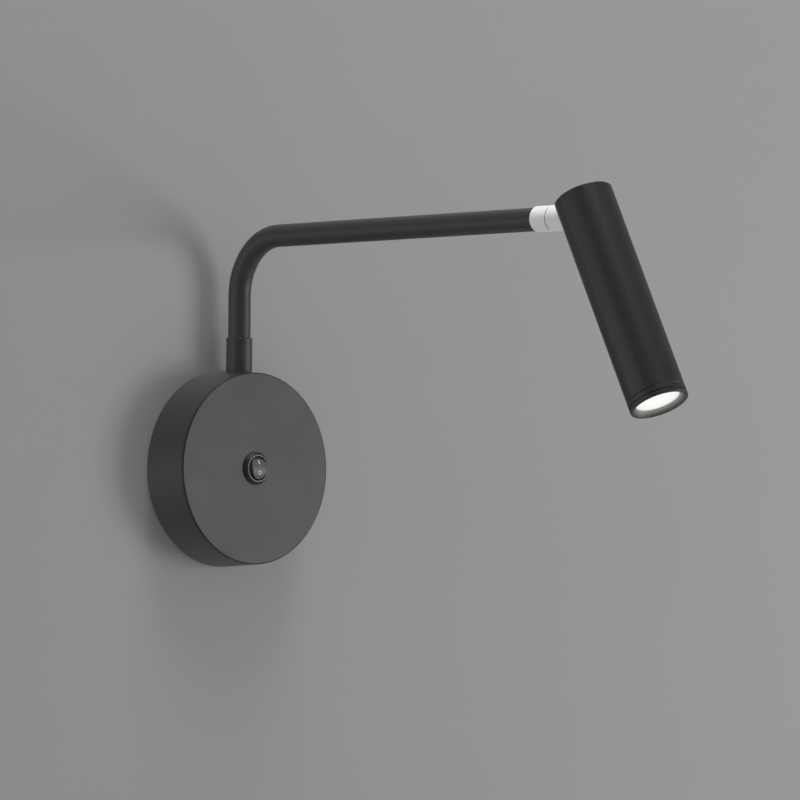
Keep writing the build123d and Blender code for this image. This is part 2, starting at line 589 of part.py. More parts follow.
def build_collar():
    outline = WALL * canopy_solid(0)
    sleeve = disc(COLLAR_R, CANOPY_TOP - COLLAR_R, COLLAR_TOP)
    sleeve = chamfer(sleeve.edges().sort_by(Axis.Z)[-1], COLLAR_EDGE)
    groove = COLLAR_TOP - BEAD_DROP
    sleeve -= tube(COLLAR_R + OVERCUT, COLLAR_R - BEAD_DEPTH, groove - BEAD_WIDTH, groove)
    collar = SWIVEL * sleeve - outline
    collar += SWIVEL * disc(SPIGOT_R, SPIGOT_FOOT, COLLAR_FLOOR)
    collar -= SWIVEL * disc(TUBE_R + RUN_FIT, COLLAR_FLOOR, COLLAR_TOP + OVERCUT)
    collar -= SWIVEL * disc(PIVOT_STEM_R + RUN_FIT, SPIGOT_FOOT - OVERCUT, COLLAR_FLOOR + OVERCUT)
    seat = SWIVEL * Pos(0, ARM_PIN_CIRCLE, 0)
    collar -= seat * disc(ARM_PIN_R, COLLAR_FLOOR - PIN_SINK, COLLAR_FLOOR + OVERCUT)
    parts["collar"] = collar
    pin_top = TUBE_FOOT + PIN_STAND
    parts["arm_stop_pin"] = seat * disc(ARM_PIN_R, COLLAR_FLOOR - PIN_SINK, pin_top)
    washer = SWIVEL * tube(TUBE_R - SLIP, PIVOT_STEM_R + SLIP, COLLAR_FLOOR, COLLAR_FLOOR + THRUST_T)
    parts["thrust_washer"] = washer - parts["arm_stop_pin"]
    saddle = SWIVEL * tube(SADDLE_R, SPIGOT_R, SADDLE_FLOOR, CANOPY_TOP)
    parts["saddle_washer"] = saddle & WALL * canopy_solid(CANOPY_WALL)
    nut = hex_nut(COLLAR_NUT_AF, SPIGOT_R, SADDLE_FLOOR - COLLAR_NUT_T, SADDLE_FLOOR)
    parts["collar_nut"] = SWIVEL * nut


def build_arm():
    path = FilletPolyline((0, -ARM_STANDOFF, TUBE_FOOT), (0, -ARM_STANDOFF, ARM_HEIGHT),
                          (0, -FERRULE_RIM, ARM_HEIGHT), radius=BEND_R)
    start = Plane(origin=path @ 0, z_dir=path % 0)
    parts["arm_tube"] = sweep(start * (Circle(TUBE_R) - Circle(TUBE_BORE_R)), path=path)
    stem = disc(TUBE_BORE_R, TUBE_FOOT, TUBE_FOOT + PLUG_LENGTH) + disc(PIVOT_STEM_R, STEM_FOOT, TUBE_FOOT)
    stem -= disc(LEAD_BORE_R, STEM_FOOT - OVERCUT, TUBE_FOOT + PLUG_LENGTH + OVERCUT)
    inner = ARM_PIN_CIRCLE - ARM_PIN_R - SLIP
    half_angle = ARM_SWING + STOP_MARGIN + degrees(asin(ARM_PIN_R / ARM_PIN_CIRCLE))
    groove = arc_groove(inner, TUBE_R, half_angle, TUBE_FOOT, TUBE_FOOT + PIN_STAND + LOOSE)
    stem -= Rot(0, 0, 180) * groove
    parts["arm_pivot"] = SWIVEL * stem
    washer_top = ARM_WASHER_TOP
    parts["arm_spring_washer"] = SWIVEL * spring_washer(ARM_WASHER_R, PIVOT_STEM_R, washer_top)
    flat_top = washer_top - SPRING_WASHER_T - SPRING_WASHER_RISE
    nut_top = flat_top - FLAT_WASHER_T
    parts["arm_flat_washer"] = SWIVEL * tube(ARM_WASHER_R, PIVOT_STEM_R, nut_top, flat_top)
    parts["arm_pivot_nut"] = SWIVEL * hex_nut(ARM_NUT_AF, PIVOT_STEM_R, nut_top - ARM_NUT_T, nut_top)


def build_roll_joint():
    seam = SEAM - SEAM_GAP / 2
    ferrule = disc(JOINT_R, FERRULE_RIM, seam)
    ferrule = chamfer(ferrule.edges().sort_by(Axis.Z)[0], JOINT_EDGE)
    ferrule = chamfer(ferrule.edges().sort_by(Axis.Z)[-1], SEAM_EDGE)
    ferrule += disc(TUBE_BORE_R, ROLL_SPIGOT_END, FERRULE_RIM)
    ferrule -= disc(ROLL_STEM_R + RUN_FIT, ROLL_SPIGOT_END - OVERCUT, seam + OVERCUT)
    seat = Pos(0, -ROLL_PIN_CIRCLE, 0)
    ferrule -= seat * disc(ROLL_PIN_R, seam - PIN_SINK, seam + OVERCUT)
    parts["ferrule"] = ARM * ferrule
    parts["roll_stop_pin"] = ARM * seat * disc(ROLL_PIN_R, seam - PIN_SINK, KNUCKLE_START + PIN_STAND)
    washer = tube(JOINT_R - LOOSE, ROLL_STEM_R + SLIP, seam, KNUCKLE_START - RUN_GAP)
    washer -= seat * disc(ROLL_PIN_R, seam - OVERCUT, KNUCKLE_START + OVERCUT)
    parts["friction_washer"] = ARM * washer

    across = Pos(0, 0, PIVOT_REACH) * Rot(0, 90, 0)
    knuckle = disc(JOINT_R, KNUCKLE_START, PIVOT_REACH)
    knuckle = chamfer(knuckle.edges().sort_by(Axis.Z)[0], SEAM_EDGE)
    knuckle -= across * disc(BARREL_CLEAR, -JOINT_R, JOINT_R)
    knuckle += disc(ROLL_STEM_R, ROLL_STEM_END, KNUCKLE_START)
    half_t = TONGUE_T / 2
    half_h = TONGUE_H / 2
    knuckle += block(-half_t, half_t, -half_h, half_h, PIVOT_REACH - BARREL_CLEAR - TONGUE_T, PIVOT_REACH)
    knuckle += across * disc(half_h, -half_t, half_t)
    knuckle -= across * disc(TILT_PIN_R + RUN_FIT, -TONGUE_T, TONGUE_T)
    exit_s = PIVOT_REACH - LEAD_EXIT
    knuckle -= disc(LEAD_BORE_R, ROLL_STEM_END - OVERCUT, exit_s)
    knuckle -= block(-LEAD_BORE_R, LEAD_BORE_R, -half_h - OVERCUT, 0, exit_s - LEAD_MOUTH, exit_s)
    half_angle = ROLL_SWING + STOP_MARGIN + degrees(asin(ROLL_PIN_R / ROLL_PIN_CIRCLE))
    reach = ROLL_PIN_R + SLIP
    knuckle -= arc_groove(ROLL_PIN_CIRCLE - reach, ROLL_PIN_CIRCLE + reach, half_angle,
                          KNUCKLE_START, KNUCKLE_START + PIN_STAND + LOOSE)
    parts["knuckle"] = ARM * knuckle
    parts["roll_spring_washer"] = ARM * spring_washer(ROLL_WASHER_R, ROLL_STEM_R, ROLL_WASHER_TOP)
    flat_top = ROLL_WASHER_TOP - SPRING_WASHER_T - SPRING_WASHER_RISE
    nut_top = flat_top - FLAT_WASHER_T
    parts["roll_flat_washer"] = ARM * tube(ROLL_WASHER_R, ROLL_STEM_R, nut_top, flat_top)
    nut = tube(ROLL_NUT_R, ROLL_STEM_R, nut_top - ROLL_NUT_T, nut_top)
    nut_end = nut_top - ROLL_NUT_T
    nut -= block(-ROLL_NUT_R, ROLL_NUT_R, -DRIVE_SLOT / 2, DRIVE_SLOT / 2, nut_end, nut_end + DRIVE_SLOT)
    parts["roll_nut"] = ARM * nut


def build_head_shell():
    half_slot = TONGUE_T / 2 + TILT_WASHER_T + 2 * RUN_GAP
    space = TONGUE_H / 2 + TONGUE_SPACE
    slot = block(-half_slot, half_slot, -2 * HEAD_R, space, -OVERCUT, PIVOT_DROP + space)
    across = Pos(0, 0, PIVOT_DROP) * Rot(0, 90, 0)
    wide = JOINT_R + LOOSE
    mouth = block(-wide, wide, -2 * HEAD_R, wide, -OVERCUT, PIVOT_DROP + JOINT_R + TONGUE_SPACE)
    slot += mouth - across * disc(BARREL_CLEAR - LOOSE, -HEAD_R, HEAD_R)
    shell = disc(HEAD_R, 0, BEZEL_SEAM)
    shell = fillet(shell.edges().sort_by(Axis.Z)[0], HEAD_EDGE)
    shell = chamfer(shell.edges().sort_by(Axis.Z)[-1], SEAM_EDGE)
    shell -= disc(SHELL_BORE_R, -OVERCUT, BEZEL_SEAM + OVERCUT)
    set_screw = Pos(0, 0, SET_SCREW_DROP) * Rot(90, 0, 0)
    shell -= slot + set_screw * disc(SET_SCREW_R, 0, HEAD_R + OVERCUT)
    parts["head_shell"] = HEAD * shell
    parts["head_cap"] = HEAD * (disc(SHELL_BORE_R, 0, CAP_T) - slot)
    pivot = disc(SHELL_BORE_R, CAP_T, BLOCK_BOTTOM) - slot
    pin_end = SHELL_BORE_R - TILT_PIN_END
    pivot -= across * disc(TILT_PIN_R, -SHELL_BORE_R, SHELL_BORE_R)
    pivot -= set_screw * disc(SET_SCREW_R, SHELL_BORE_R - SET_SCREW_LENGTH, HEAD_R)
    pivot -= Pos(0, WIRE_WAY_Y, 0) * disc(WIRE_HOLE_R, 0, BLOCK_BOTTOM + OVERCUT)
    parts["pivot_block"] = HEAD * pivot
    parts["tilt_pin"] = HEAD * across * disc(TILT_PIN_R, -pin_end, pin_end)
    near = TONGUE_T / 2 + RUN_GAP
    washers = []
    for side in (-1, 1):
        ends = sorted((side * near, side * (near + TILT_WASHER_T)))
        washers.append(HEAD * across * tube(TILT_WASHER_R, TILT_PIN_R, *ends))
    parts["tilt_washers"] = Compound(children=washers)
    screw_top = SHELL_BORE_R + HEAD_WALL / 2
    screw = disc(SET_SCREW_R, SHELL_BORE_R - SET_SCREW_LENGTH, screw_top)
    screw -= Pos(0, 0, screw_top - OVERCUT) * extrude(RegularPolygon(SET_SCREW_R / 2, 6), amount=2 * OVERCUT)
    parts["head_set_screw"] = HEAD * set_screw * screw


def build_light_engine():
    rim = SHELL_BORE_R - RUN_GAP
    base = SINK_FACE - SINK_BASE_T
    sink = disc(rim, base, SINK_FACE) + disc(SINK_CORE_R, SINK_TOP, base)
    fin = block(0, 2 * rim, -FIN_T / 2, FIN_T / 2, SINK_TOP, base) & disc(rim, SINK_TOP, base)
    for index in range(FIN_COUNT):
        sink += Rot(0, 0, 360 * index / FIN_COUNT) * fin
    sink -= Pos(0, SINK_WIRE_Y, 0) * disc(WIRE_HOLE_R, SINK_TOP - OVERCUT, SINK_FACE + OVERCUT)
    board = disc(LED_BOARD_R, LED_BOARD_TOP, LED_BOARD_FACE)
    board -= Pos(0, SINK_WIRE_Y, 0) * disc(WIRE_HOLE_R, LED_BOARD_TOP - OVERCUT, LED_BOARD_FACE + OVERCUT)
    film = disc(LED_BOARD_R, SINK_FACE, LED_BOARD_TOP)
    film -= Pos(0, SINK_WIRE_Y, 0) * disc(WIRE_HOLE_R, SINK_FACE - OVERCUT, LED_BOARD_TOP + OVERCUT)
    screws = []
    for side in (-1, 1):
        place = Pos(side * BOARD_SCREW_X, 0, 0)
        shank = disc(BOARD_SCREW_R, SINK_FACE - BOARD_SCREW_DEPTH, LED_BOARD_FACE)
        sink -= place * shank
        film -= place * shank
        board -= place * shank
        screw = shank + disc(BOARD_SCREW_HEAD_R, LED_BOARD_FACE, LED_BOARD_FACE + BOARD_SCREW_HEAD_T)
        screws.append(HEAD * place * screw)
    parts["heat_sink"] = HEAD * sink
    parts["thermal_pad"] = HEAD * film
    parts["led_board"] = HEAD * board
    parts["board_screws"] = Compound(children=screws)
    parts["led_emitter"] = HEAD * disc(EMITTER_R, LED_BOARD_FACE, LED_BOARD_FACE + EMITTER_T)


def build_front():
    lens_face = HEAD_LENGTH - LENS_RECESS
    tip = LED_BOARD_FACE + EMITTER_T + LENS_CLEAR
    lens = disc(LENS_FLANGE_R, FLANGE_BACK, FLANGE_FACE) + disc(LENS_R, FLANGE_FACE, lens_face)
    lens += frustum(LENS_TIP_R, LENS_R, tip, FLANGE_BACK)
    lens -= disc(LENS_POCKET_R, tip - OVERCUT, tip + LENS_POCKET)
    parts["lens"] = HEAD * lens
    holder_r = BEZEL_BORE_R - 2 * SLIP
    parts["lens_holder"] = HEAD * tube(holder_r, holder_r - HOLDER_WALL, SINK_FACE, FLANGE_BACK)
    parts["lens_gasket"] = HEAD * tube(BEZEL_BORE_R - SLIP, LENS_R + SLIP, FLANGE_FACE, LIP_FACE)
    bezel = disc(HEAD_R, BEZEL_SEAM, HEAD_LENGTH)
    bezel = fillet(bezel.edges().sort_by(Axis.Z)[-1], HEAD_EDGE)
    bezel = chamfer(bezel.edges().sort_by(Axis.Z)[0], SEAM_EDGE)
    groove = HEAD_LENGTH - GROOVE_RISE - GROOVE_WIDTH / 2
    bezel -= tube(HEAD_R + OVERCUT, HEAD_R - GROOVE_DEPTH, groove, groove + GROOVE_WIDTH)
    bezel += disc(SHELL_BORE_R, BEZEL_SEAM - BEZEL_SPIGOT, BEZEL_SEAM)
    bezel -= disc(BEZEL_BORE_R, BEZEL_SEAM - BEZEL_SPIGOT - OVERCUT, LIP_FACE)
    bezel -= disc(LENS_R + SLIP, LIP_FACE - OVERCUT, HEAD_LENGTH + OVERCUT)
    bezel -= frustum(LENS_R + SLIP, LENS_R + SLIP + BEZEL_BEVEL, HEAD_LENGTH - BEZEL_BEVEL, HEAD_LENGTH)
    parts["bezel"] = HEAD * bezel


def build_wires():
    block_foot = BLOCK_POS[1] - BLOCK_DEPTH / 2
    in_sleeve = block_foot + WIRE_INSERT
    under_block = block_foot - WIRE_DROP
    inside = DRIVER_TOP_Y - 2 * DRIVER_WALL
    wire_z = BOARD_TOP + WIRE_R
    lead_z = BOARD_TOP + LEAD_R
    blade_x = BLADE_WIDTH / 2
    blade_z = BLADE_FOOT + 2 * WIRE_R
    blade_y = -CONTACT_Y - BLADE_T / 2
    first, second = (blade_y + share * (DRIVER_TOP_Y - blade_y) for share in LIVE_OUT_BENDS)
    tag_end = (EARTH_POS[0], EARTH_POS[1] + TAG_LENGTH - WIRE_R, PLATE_T + TAG_T + WIRE_LIFT * WIRE_R)
    routes = {
        "wire_live_in": [(pole_x(0), in_sleeve, SLEEVE_Z), (pole_x(0), under_block, SLEEVE_Z),
                         (blade_x + BLADE_RUN, 0, blade_z), (blade_x, 0, blade_z)],
        "wire_live_out": [(LIVE_OUT_X, blade_y, blade_z), (LIVE_OUT_X, first, blade_z),
                          (LIVE_OUT_X, second, wire_z), (LIVE_OUT_X, inside, wire_z)],
        "wire_neutral": [(pole_x(1), in_sleeve, SLEEVE_Z), (pole_x(1), under_block, SLEEVE_Z),
                         (NEUTRAL_X, DRIVER_TOP_Y + NEUTRAL_RUN, wire_z), (NEUTRAL_X, inside, wire_z)],
        "wire_earth": [(pole_x(2), in_sleeve, SLEEVE_Z), (pole_x(2), block_foot - WIRE_DROP / 3, SLEEVE_Z),
                       tag_end],
    }
    for name, points in routes.items():
        parts[name] = WALL * cord(name, points, WIRE_R)
    meet = STEM_FOOT + WIRE_INSERT
    parts["lead_base"] = WALL * cord("lead_base", [
        (0, meet, ARM_STANDOFF), (0, STEM_FOOT - STEM_RUN, ARM_STANDOFF), *LEAD_WAY,
        (OUTPUT_X, DRIVER_TOP_Y + OUTPUT_RUN, lead_z), (OUTPUT_X, inside, lead_z)], LEAD_R)
    roll_meet = ROLL_STEM_END + WIRE_INSERT
    path = FilletPolyline((0, -ARM_STANDOFF, meet), (0, -ARM_STANDOFF, ARM_HEIGHT),
                          (0, -roll_meet, ARM_HEIGHT), radius=BEND_R)
    parts["lead_arm"] = sweep(Plane(origin=path @ 0, z_dir=path % 0) * Circle(LEAD_R), path=path)
    out = PIVOT_REACH - LEAD_EXIT
    parts["lead_knuckle"] = ARM * cord("lead_knuckle", [
        (0, 0, roll_meet), (0, 0, out - KNUCKLE_RUN),
        (0, LEAD_R + LOOSE - TONGUE_H / 2, out - LEAD_R)], LEAD_R)
    way_top = PIVOT_DROP + TONGUE_H / 2 + TONGUE_SPACE
    parts["lead_head"] = HEAD * cord("lead_head", [
        (0, WIRE_WAY_Y, way_top), (0, WIRE_WAY_Y, BLOCK_BOTTOM + BLOCK_RUN),
        (0, SINK_WIRE_Y, SINK_TOP - SINK_RUN), (0, SINK_WIRE_Y, LED_BOARD_FACE + BOARD_RUN)], HEAD_LEAD_R)


build_canopy()
build_bracket()
build_terminals()
build_driver()
build_switch()
build_collar()
build_arm()
build_roll_joint()
build_head_shell()
build_light_engine()
build_front()
build_wires()

os.makedirs("parts", exist_ok=True)
for node, shape in parts.items():
    export_step(shape, f"parts/{node}.step")
print(len(parts), "nodes")
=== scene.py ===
import bmesh
import bpy
import json
from math import cos, pi, radians, sin
from mathutils import Matrix, Vector


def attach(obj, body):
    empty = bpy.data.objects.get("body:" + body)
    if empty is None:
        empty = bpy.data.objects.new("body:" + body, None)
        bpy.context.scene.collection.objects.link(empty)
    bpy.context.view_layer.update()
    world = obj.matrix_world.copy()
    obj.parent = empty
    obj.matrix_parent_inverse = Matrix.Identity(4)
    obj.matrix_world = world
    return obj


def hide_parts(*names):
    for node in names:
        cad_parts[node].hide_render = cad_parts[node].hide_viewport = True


# A black wall reading light: round canopy with a rocker switch, bent swivel arm, bright joint and
# slim tube head. Metres, in the frame of the CAD: wall at y = 0, room towards -Y, Z up.

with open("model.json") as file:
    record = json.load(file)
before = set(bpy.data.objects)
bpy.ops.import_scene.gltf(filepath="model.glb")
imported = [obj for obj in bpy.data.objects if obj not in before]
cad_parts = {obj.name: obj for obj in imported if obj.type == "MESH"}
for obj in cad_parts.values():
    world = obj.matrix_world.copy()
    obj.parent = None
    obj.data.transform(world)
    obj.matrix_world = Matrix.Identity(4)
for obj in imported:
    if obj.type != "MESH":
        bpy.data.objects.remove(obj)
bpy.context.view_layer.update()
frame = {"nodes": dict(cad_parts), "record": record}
nodes = frame["nodes"]
bodies = frame["record"]["behaviour"]["bodies"]
body_of = {node: body for body, members in bodies.items() for node in members}
slot_of = {row["node"]: row["material_slot"] for row in frame["record"]["subparts"]}
scene = bpy.context.scene
MM = 0.001

# Sizes shared with the CAD, in millimetres
CANOPY_DEPTH = 27.0
CANOPY_FRONT_R = 51.1
SWITCH_TOP_R = 7.3  # outside of the flat ring round the rocker
SWITCH_POCKET_R = 6.6  # inside of that ring
ROCKER_AXIS = 26.7  # out from the wall
ROCKER_TOP = 3.9  # crown of the rocker's face above the axis
ROCKER_FACE_R = 9.5  # radius to which the face is rounded
ARM_HEIGHT = 123.4
PIVOT_REACH = 276.7  # tilt pin, out from the wall
PIVOT_DROP = 11.5  # tilt pin, below the head's top
LENS_R = 11.2

# Angles at rest
ROCKER_TIP = radians(9)
TILT = radians(27)

# Frames: OUT is right, up and out from the wall, and ARM is the same at the arm's height. HEAD is
# right, front and down along the head. ROCKER faces out of the rocker, and CROWN has the axis of
# its rounded face.
OUT = Matrix.Rotation(pi / 2, 4, "X")
ARM = Matrix.Translation((0, 0, ARM_HEIGHT * MM)) @ OUT
RIGHT = Vector((1, 0, 0))
HEAD_AXIS = Vector((0, -sin(TILT), -cos(TILT)))
HEAD_FRONT = HEAD_AXIS.cross(RIGHT)
HEAD_TOP = Vector((0, -PIVOT_REACH, ARM_HEIGHT)) * MM - HEAD_AXIS * PIVOT_DROP * MM
HEAD_TURN = Matrix((RIGHT, HEAD_FRONT, HEAD_AXIS)).transposed().to_4x4()
HEAD = Matrix.Translation(HEAD_TOP) @ HEAD_TURN
ROCKER_SPOT = Matrix.Translation((0, 0, ROCKER_AXIS * MM))
ROCKER = OUT @ ROCKER_SPOT @ Matrix.Rotation(-ROCKER_TIP, 4, "X")
CROWN_SPOT = Matrix.Translation((0, 0, (ROCKER_TOP - ROCKER_FACE_R) * MM))
CROWN = ROCKER @ CROWN_SPOT @ Matrix.Rotation(pi / 2, 4, "Y")


class Amount:
    """A socket whose arithmetic adds Math nodes to its finish."""

    def __init__(self, finish, socket):
        self.finish = finish
        self.socket = socket

    def math(self, operation, first, second):
        return self.finish.amount("ShaderNodeMath", {"operation": operation}, {0: first, 1: second})

    def __add__(self, other):
        return self.math("ADD", self, other)

    def __sub__(self, other):
        return self.math("SUBTRACT", self, other)

    def __rsub__(self, other):
        return self.math("SUBTRACT", other, self)

    def __mul__(self, other):
        return self.math("MULTIPLY", self, other)

    __radd__ = __add__
    __rmul__ = __mul__

    def between(self, low, high):
        """low where the amount is 0, high where it is 1."""
        return self * (high - low) + low

    def limited(self):
        return self.finish.amount("ShaderNodeClamp", {}, {"Value": self})


class Finish:
    """A node material under construction."""

    # The colour sockets of a Mix node
    MIX_FIRST, MIX_SECOND, MIX_RESULT = 6, 7, 2
    # How far an edge reaches, in millimetres, and how fast it fades
    EDGE_REACH, EDGE_GAIN = 0.5, 6

    def __init__(self, name):
        self.material = bpy.data.materials.new(name)
        self.material.use_nodes = True
        self.tree = self.material.node_tree
        self.tree.nodes.clear()
        self.output = self.node("ShaderNodeOutputMaterial")
        self.place = self.node("ShaderNodeTexCoord").outputs["Object"]

    def node(self, kind, settings=None, inputs=None):
        """A new node; an input is linked to a socket or an amount, or set to a constant."""
        made = self.tree.nodes.new(kind)
        for key, value in (settings or {}).items():
            setattr(made, key, value)
        for key, value in (inputs or {}).items():
            value = value.socket if isinstance(value, Amount) else value
            if isinstance(value, bpy.types.NodeSocket):
                self.tree.links.new(value, made.inputs[key])
            else:
                made.inputs[key].default_value = value
        return made

    def amount(self, kind, settings=None, inputs=None, output=0):
        return Amount(self, self.node(kind, settings, inputs).outputs[output])

    def noise(self, scale, detail, where=None):
        inputs = {"Vector": where or self.place, "Scale": scale, "Detail": detail}
        return self.amount("ShaderNodeTexNoise", {}, inputs)

    def turned(self, matrix, stretch=(1, 1, 1)):
        """Object coordinates seen from a piece's own frame, then stretched."""
        back = matrix.inverted()
        moved = self.node("ShaderNodeMapping", {}, {
            "Vector": self.place, "Location": back.to_translation(), "Rotation": back.to_euler()})
        inputs = {"Vector": moved.outputs[0], "Scale": stretch}
        return self.node("ShaderNodeMapping", {}, inputs).outputs[0]

    def radius(self, matrix):
        """Distance from the Z axis of a frame."""
        flat = self.turned(matrix, stretch=(1, 1, 0))
        settings = {"operation": "LENGTH"}
        return self.amount("ShaderNodeVectorMath", settings, {0: flat}, "Value")

    def height(self, matrix):
        """Distance along the Z axis of a frame."""
        return self.amount("ShaderNodeSeparateXYZ", {}, {0: self.turned(matrix)}, "Z")

    def past(self, distance, start, width):
        """0 up to a start and 1 past it, with a ramp of a width, both in millimetres."""
        return ((distance - start * MM) * (1 / (width * MM))).limited()

    def colour(self, factor, first, second):
        """The first colour where the factor is 0, the second where it is 1."""
        inputs = {0: factor}
        for key, value in ((self.MIX_FIRST, first), (self.MIX_SECOND, second)):
            inputs[key] = value if isinstance(value, bpy.types.NodeSocket) else (*value, 1)
        mixed = self.node("ShaderNodeMix", {"data_type": "RGBA"}, inputs)
        return mixed.outputs[self.MIX_RESULT]

    def edge(self):
        """1 along the edges of a piece and 0 on its flats."""
        inputs = {"Radius": self.EDGE_REACH * MM}
        soft = self.node("ShaderNodeBevel", {"samples": 4}, inputs).outputs[0]
        plain = self.node("ShaderNodeNewGeometry").outputs["Normal"]
        settings = {"operation": "DOT_PRODUCT"}
        alike = self.amount("ShaderNodeVectorMath", settings, {0: soft, 1: plain}, "Value")
        return ((1 - alike) * self.EDGE_GAIN).limited()

    def bump(self, height, depth, strength):
        """A normal for a relief that is so many millimetres deep."""
        inputs = {"Height": height, "Distance": depth * MM, "Strength": strength}
        return self.node("ShaderNodeBump", {}, inputs).outputs[0]

    def surface(self, **inputs):
        named = {key.replace("_", " "): value for key, value in inputs.items()}
        shader = self.node("ShaderNodeBsdfPrincipled", {}, named)
        self.tree.links.new(shader.outputs[0], self.output.inputs["Surface"])
        return self.material


def shade(colour, factor):
    return tuple(factor * part for part in colour)


def grey(level):
    return (level, level, level)


# Powder coats: the colour's dark and light ends, and the roughness
MATT = (0.0225, 0.022, 0.023), (0.0266, 0.026, 0.0271), 0.50
SATIN = (0.0095, 0.0095, 0.01), (0.0124, 0.0124, 0.013), 0.44
EDGE_PALER = 1.8
EDGE_WEAR = 0.2

# The painted shade at the canopy's front edge, a thin dark line where face and side meet: how far
# it reaches on face and side in millimetres, the width of its fade on each, and its strength
SHADE_LINE_ON_FACE, SHADE_LINE_FACE_FADE = 0.9, 0.5
SHADE_LINE_ON_SIDE, SHADE_LINE_SIDE_FADE = 1.4, 0.8
SHADE_LINE_STRENGTH = 0.5
SHADE_LINE_COLOUR = grey(0.004)

# Light of the lens: in its middle, at its edge and in the moulded rings; and the painted glow of
# its light on the bezel's cone, up to a radius; lengths in millimetres
LENS_MIDDLE, LENS_EDGE = (0.82, 0.82, 0.785), (0.74, 0.735, 0.70)
LENS_MIDDLE_R, LENS_EDGE_FADE = 7.5, 3.3
LENS_RINGS, RINGS_SHARE, RINGS_SCALE = (0.52, 0.51, 0.47), 0.16, 260.0
LENS_CLEAR = (0.25, 0.25, 0.24, 1)
CONE_PAINTED_GLOW, CONE_PAINTED_GLOW_R = (0.23, 0.227, 0.217), 14.3

# Skin and clouding of plated metal, per metre
SKIN_SCALE, CLOUD_SCALE = 900, 900 / 14

# The switch: sharpness of the outline of the ring with its painted highlight and of the rocker's
# face against its sides in painted shade, in millimetres, and where the face ends
RING_FADE = 0.05
FACE_MARGIN, FACE_FADE = 0.25, 0.125


def coat(finish, dark, light, roughness):
    """Inputs of a powder coat: fine orange-peel grain, faint clouding and slightly paler edges."""
    grain = finish.noise(scale=2600, detail=3)
    cloud = finish.noise(scale=45, detail=3)
    base = finish.colour(cloud, dark, light)
    worn = finish.colour(finish.edge() * EDGE_WEAR, base, shade(light, EDGE_PALER))
    rough = roughness + cloud.between(-0.06, 0.02) + grain.between(0, 0.05)
    relief = finish.bump(grain, depth=0.06, strength=0.55)
    return {"Base_Color": worn, "Roughness": rough, "Normal": relief}


def powder_coat(name, kind):
    finish = Finish(name)
    return finish.surface(**coat(finish, *kind))


def canopy_coat_with_painted_shade():
    """Powder coat with a thin, dark stripe of painted shade round the canopy's front edge."""
    finish = Finish("canopy_powder_coat_painted_shade")
    inputs = coat(finish, *MATT)
    rim = finish.past(finish.radius(OUT), CANOPY_FRONT_R - SHADE_LINE_ON_FACE, SHADE_LINE_FACE_FADE)
    front = finish.past(finish.height(OUT), CANOPY_DEPTH - SHADE_LINE_ON_SIDE, SHADE_LINE_SIDE_FADE)
    # Painted shade: a near-black stripe along the front edge, made metallic so that it reads darker
    # still
    shade_line = rim * front * SHADE_LINE_STRENGTH
    inputs["Base_Color"] = finish.colour(shade_line, inputs["Base_Color"], SHADE_LINE_COLOUR)
    return finish.surface(**inputs, Metallic=shade_line)


def bezel_coat_with_painted_glow():
    """Satin coat with a painted glow of the lens's light on its cone, given as emission."""
    finish = Finish("bezel_satin_coat_painted_glow")
    # Painted glow: emission on the bezel's cone, strongest at the lens and gone by the glow's
    # radius
    near = 1 - finish.past(finish.radius(HEAD), LENS_R, CONE_PAINTED_GLOW_R - LENS_R)
    painted_glow = finish.colour(near * near, grey(0), CONE_PAINTED_GLOW)
    return finish.surface(**coat(finish, *SATIN), Emission_Color=painted_glow, Emission_Strength=1.0)


def turned_metal(name, colour, roughness, matrix, pitch):
    """Lathe-turned metal, with tool lines of a pitch in millimetres round the axis of a frame."""
    finish = Finish(name)
    along_lines = finish.turned(matrix, stretch=(60, 60, 1 / (pitch * MM)))
    lines = finish.noise(scale=1, detail=2, where=along_lines)
    cloud = finish.noise(scale=160, detail=2)
    base = finish.colour(cloud, shade(colour, 0.94), colour)
    rough = roughness + lines.between(-0.07, 0.03) + cloud.between(0, 0.05)
    relief = finish.bump(lines, depth=0.02, strength=0.35)
    return finish.surface(Base_Color=base, Metallic=1.0, Roughness=rough, Normal=relief)


def plated_metal(name, colour, roughness):
    """Plated or machined metal with a fine mottled skin."""
    finish = Finish(name)
    skin = finish.noise(SKIN_SCALE, detail=4)
    cloud = finish.noise(CLOUD_SCALE, detail=3)
    base = finish.colour(cloud, shade(colour, 0.82), colour)
    rough = roughness + cloud.between(-0.08, 0.04) + skin.between(0, 0.08)
    relief = finish.bump(skin, depth=0.03, strength=0.3)
    return finish.surface(Base_Color=base, Metallic=1.0, Roughness=rough, Normal=relief)


def moulded(name, colour, roughness, scale=3200, depth=0.03):
    """Moulded plastic with a fine spark-eroded grain."""
    finish = Finish(name)
    grain = finish.noise(scale, detail=2)
    cloud = finish.noise(scale=70, detail=2)
    base = finish.colour(cloud, shade(colour, 0.9), shade(colour, 1.08))
    rough = roughness + grain.between(-0.05, 0.01) + cloud.between(0, 0.06)
    relief = finish.bump(grain, depth, strength=0.4)
    return finish.surface(Base_Color=base, Roughness=rough, Normal=relief)


def switch_plastic():
    """Black switch body with a smoother band round the rocker, whose paler colour is a painted
    highlight.
    """
    finish = Finish("switch_plastic")
    grain = finish.noise(scale=3200, detail=2)
    cloud = finish.noise(scale=70, detail=2)
    out = finish.radius(OUT)
    inside = finish.past(out, SWITCH_POCKET_R, RING_FADE)
    smooth_ring_painted_highlight = inside * (1 - finish.past(out, SWITCH_TOP_R, RING_FADE))
    side = finish.colour(cloud, (0.006, 0.006, 0.0065), (0.0075, 0.0075, 0.008))
    # Painted highlight: the flat ring round the rocker takes a far paler colour than the rest of
    # the body
    base = finish.colour(smooth_ring_painted_highlight, side, (0.055, 0.055, 0.056))
    rough = smooth_ring_painted_highlight.between(0.48, 0.36) + grain.between(0, 0.06) + cloud.between(0, 0.06)
    relief = finish.bump(grain, depth=0.03, strength=0.4)
    return finish.surface(Base_Color=base, Roughness=rough, Normal=relief)


